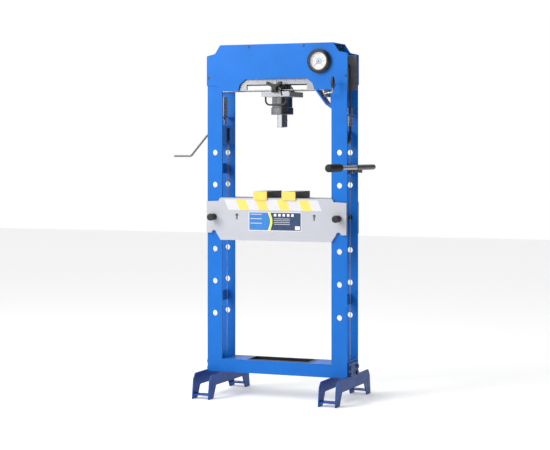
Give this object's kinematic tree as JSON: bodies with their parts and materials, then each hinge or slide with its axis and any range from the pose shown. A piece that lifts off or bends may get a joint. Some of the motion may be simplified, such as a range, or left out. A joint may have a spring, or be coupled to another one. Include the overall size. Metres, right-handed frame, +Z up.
{
  "type": "hydraulic shop press",
  "caption": "Floor-standing H-frame hydraulic press with sliding ram, hand pump, winch-lifted pinned table, gauge and arched feet.",
  "frame": {"origin": "middle of the footprint box, on the floor", "axes": "+Z up, -Y front (operator side), +X towards the pump lever"},
  "size_m": [1.009, 0.666, 1.743],
  "materials": {
    "blue_paint": "satin powder coat",
    "navy_paint": "satin powder coat",
    "grey_paint": "satin powder coat",
    "bright_steel": "zinc-plated or bare steel",
    "dark_steel": "oiled dark steel",
    "black_metal": "black finish",
    "polished_steel": "turned and polished",
    "chromed_ram": "hard chrome",
    "black_plastic": "moulded",
    "arbor_black": "black body with yellow end caps",
    "wire_rope": "stranded steel",
    "black_rubber": "matt",
    "white_dial": "printed",
    "clear_lens": "clear"
  },
  "bodies": {
    "frame": {"column_plates": "blue_paint", "column_ties": "blue_paint", "base_frame": "blue_paint", "base_tray": "black_metal", "foot_left": "navy_paint", "foot_right": "navy_paint", "foot_bolts": "dark_steel", "crosshead_plates": "bright_steel", "head_covers": "blue_paint", "head_top_plate": "blue_paint", "cover_screws": "dark_steel", "winch_plates": "blue_paint", "winch_hanger": "bright_steel", "pulley_brackets": "blue_paint", "rope_run": "wire_rope", "pump_body": "dark_steel", "pump_bearing": "bright_steel", "pump_hose": "black_rubber", "hose_fitting": "bright_steel", "pressure_pipe": "dark_steel", "gauge_case": "black_plastic", "gauge_dial": "white_dial", "gauge_lens": "clear_lens", "corner_brace": "navy_paint", "release_valve": "dark_steel"},
    "carriage": {"carriage_plate": "bright_steel", "slot_rollers": "bright_steel", "carriage_handle": "black_metal", "cylinder_barrel": "polished_steel", "gland_nut": "polished_steel", "return_spring": "bright_steel", "rear_stud": "bright_steel"},
    "ram": {"ram": "chromed_ram"},
    "clamp": {"clamp_knob": "black_plastic"},
    "table": {"table_plates": "grey_paint", "table_spacers": "grey_paint", "rope_lugs": "bright_steel", "pin_bushes": "black_metal", "rope_left": "wire_rope", "rope_right": "wire_rope"},
    "arbor_left": {"arbor_plate_left": "arbor_black"},
    "arbor_right": {"arbor_plate_right": "arbor_black"},
    "winch": {"winch_drum": "bright_steel", "rope_coil": "wire_rope", "winch_crank": "bright_steel"},
    "low_left_pulley": {"pulley_low_left": "black_metal"},
    "low_right_pulley": {"pulley_low_right": "black_metal"},
    "top_right_pulley": {"pulley_top_right": "black_metal"},
    "lever": {"lever_socket": "dark_steel", "lever_bar": "bright_steel", "lever_grip": "black_rubber"},
    "plunger": {"pump_plunger": "bright_steel"},
    "release": {"release_lever": "bright_steel", "release_knob": "black_plastic"},
    "needle": {"gauge_needle": "black_metal"},
    "pin_front_left": {"lock_pin_front_left": "black_metal"},
    "pin_front_right": {"lock_pin_front_right": "black_metal"},
    "pin_rear_left": {"lock_pin_rear_left": "black_metal"},
    "pin_rear_right": {"lock_pin_rear_right": "black_metal"}
  },
  "joints": [
    {"name": "table_lift", "type": "slide", "parent": "frame", "child": "table", "axis": [0, 0, 1], "range_m": [-0.48, 0.16], "deforming": ["rope_left", "rope_right"]},
    {"name": "winch_turn", "type": "hinge", "parent": "frame", "child": "winch", "pos_m": [-0.2405, 0.078, 1.3], "axis": [1, 0, 0], "range_deg": [-920, 310]},
    {"name": "low_left_pulley_spin", "type": "hinge", "parent": "frame", "child": "low_left_pulley", "pos_m": [-0.2025, 0.108, 0.143], "axis": [0, 1, 0], "range_deg": [-1380, 465]},
    {"name": "low_right_pulley_spin", "type": "hinge", "parent": "frame", "child": "low_right_pulley", "pos_m": [0.4165, 0.108, 0.143], "axis": [0, 1, 0], "range_deg": [-1380, 465]},
    {"name": "top_right_pulley_spin", "type": "hinge", "parent": "frame", "child": "top_right_pulley", "pos_m": [0.4165, 0.108, 1.275], "axis": [0, 1, 0], "range_deg": [-1380, 465]},
    {"name": "arbor_left_slide", "type": "slide", "parent": "table", "child": "arbor_left", "axis": [1, 0, 0], "range_m": [-0.12, 0.03]},
    {"name": "arbor_right_slide", "type": "slide", "parent": "table", "child": "arbor_right", "axis": [1, 0, 0], "range_m": [-0.025, 0.12]},
    {"name": "carriage_slide", "type": "slide", "parent": "frame", "child": "carriage", "axis": [1, 0, 0], "range_m": [-0.12, 0.12]},
    {"name": "ram_stroke", "type": "slide", "parent": "carriage", "child": "ram", "axis": [0, 0, -1], "range_m": [0, 0.15], "stiffness_N_per_m": 700, "springref_m": -0.15, "deforming": ["return_spring"]},
    {"name": "clamp_turn", "type": "hinge", "parent": "carriage", "child": "clamp", "pos_m": [0.0895, -0.022, 1.531], "axis": [0, 1, 0], "range_deg": [-180, 180]},
    {"name": "lever_stroke", "type": "hinge", "parent": "frame", "child": "lever", "pos_m": [0.4655, 0.078, 1.128], "axis": [1, 0, 0], "range_deg": [-30, 30]},
    {"name": "plunger_stroke", "type": "slide", "parent": "frame", "child": "plunger", "axis": [0, 0, 1], "range_m": [-0.0105, 0.0105]},
    {"name": "release_turn", "type": "hinge", "parent": "frame", "child": "release", "pos_m": [0.3525, -0.002, 1.492], "axis": [0, 1, 0], "range_deg": [-30, 30]},
    {"name": "needle_turn", "type": "hinge", "parent": "frame", "child": "needle", "pos_m": [0.3195, -0.02, 1.653], "axis": [0, 1, 0], "range_deg": [0, 270], "stiffness_Nm_per_rad": 0.002},
    {"name": "pin_front_left_push", "type": "slide", "parent": "table", "child": "pin_front_left", "axis": [0, 1, 0], "range_m": [0, 0.015]},
    {"name": "pin_front_right_push", "type": "slide", "parent": "table", "child": "pin_front_right", "axis": [0, 1, 0], "range_m": [0, 0.015]},
    {"name": "pin_rear_left_push", "type": "slide", "parent": "table", "child": "pin_rear_left", "axis": [0, -1, 0], "range_m": [0, 0.015]},
    {"name": "pin_rear_right_push", "type": "slide", "parent": "table", "child": "pin_rear_right", "axis": [0, -1, 0], "range_m": [0, 0.015]}
  ],
  "couplings": [
    {"joint": "winch_turn", "follows": "table_lift", "rad_per_m": 33.333},
    {"joint": "low_left_pulley_spin", "follows": "table_lift", "rad_per_m": 50},
    {"joint": "low_right_pulley_spin", "follows": "table_lift", "rad_per_m": 50},
    {"joint": "top_right_pulley_spin", "follows": "table_lift", "rad_per_m": 50},
    {"joint": "plunger_stroke", "follows": "lever_stroke", "m_per_rad": -0.0195}
  ]
}
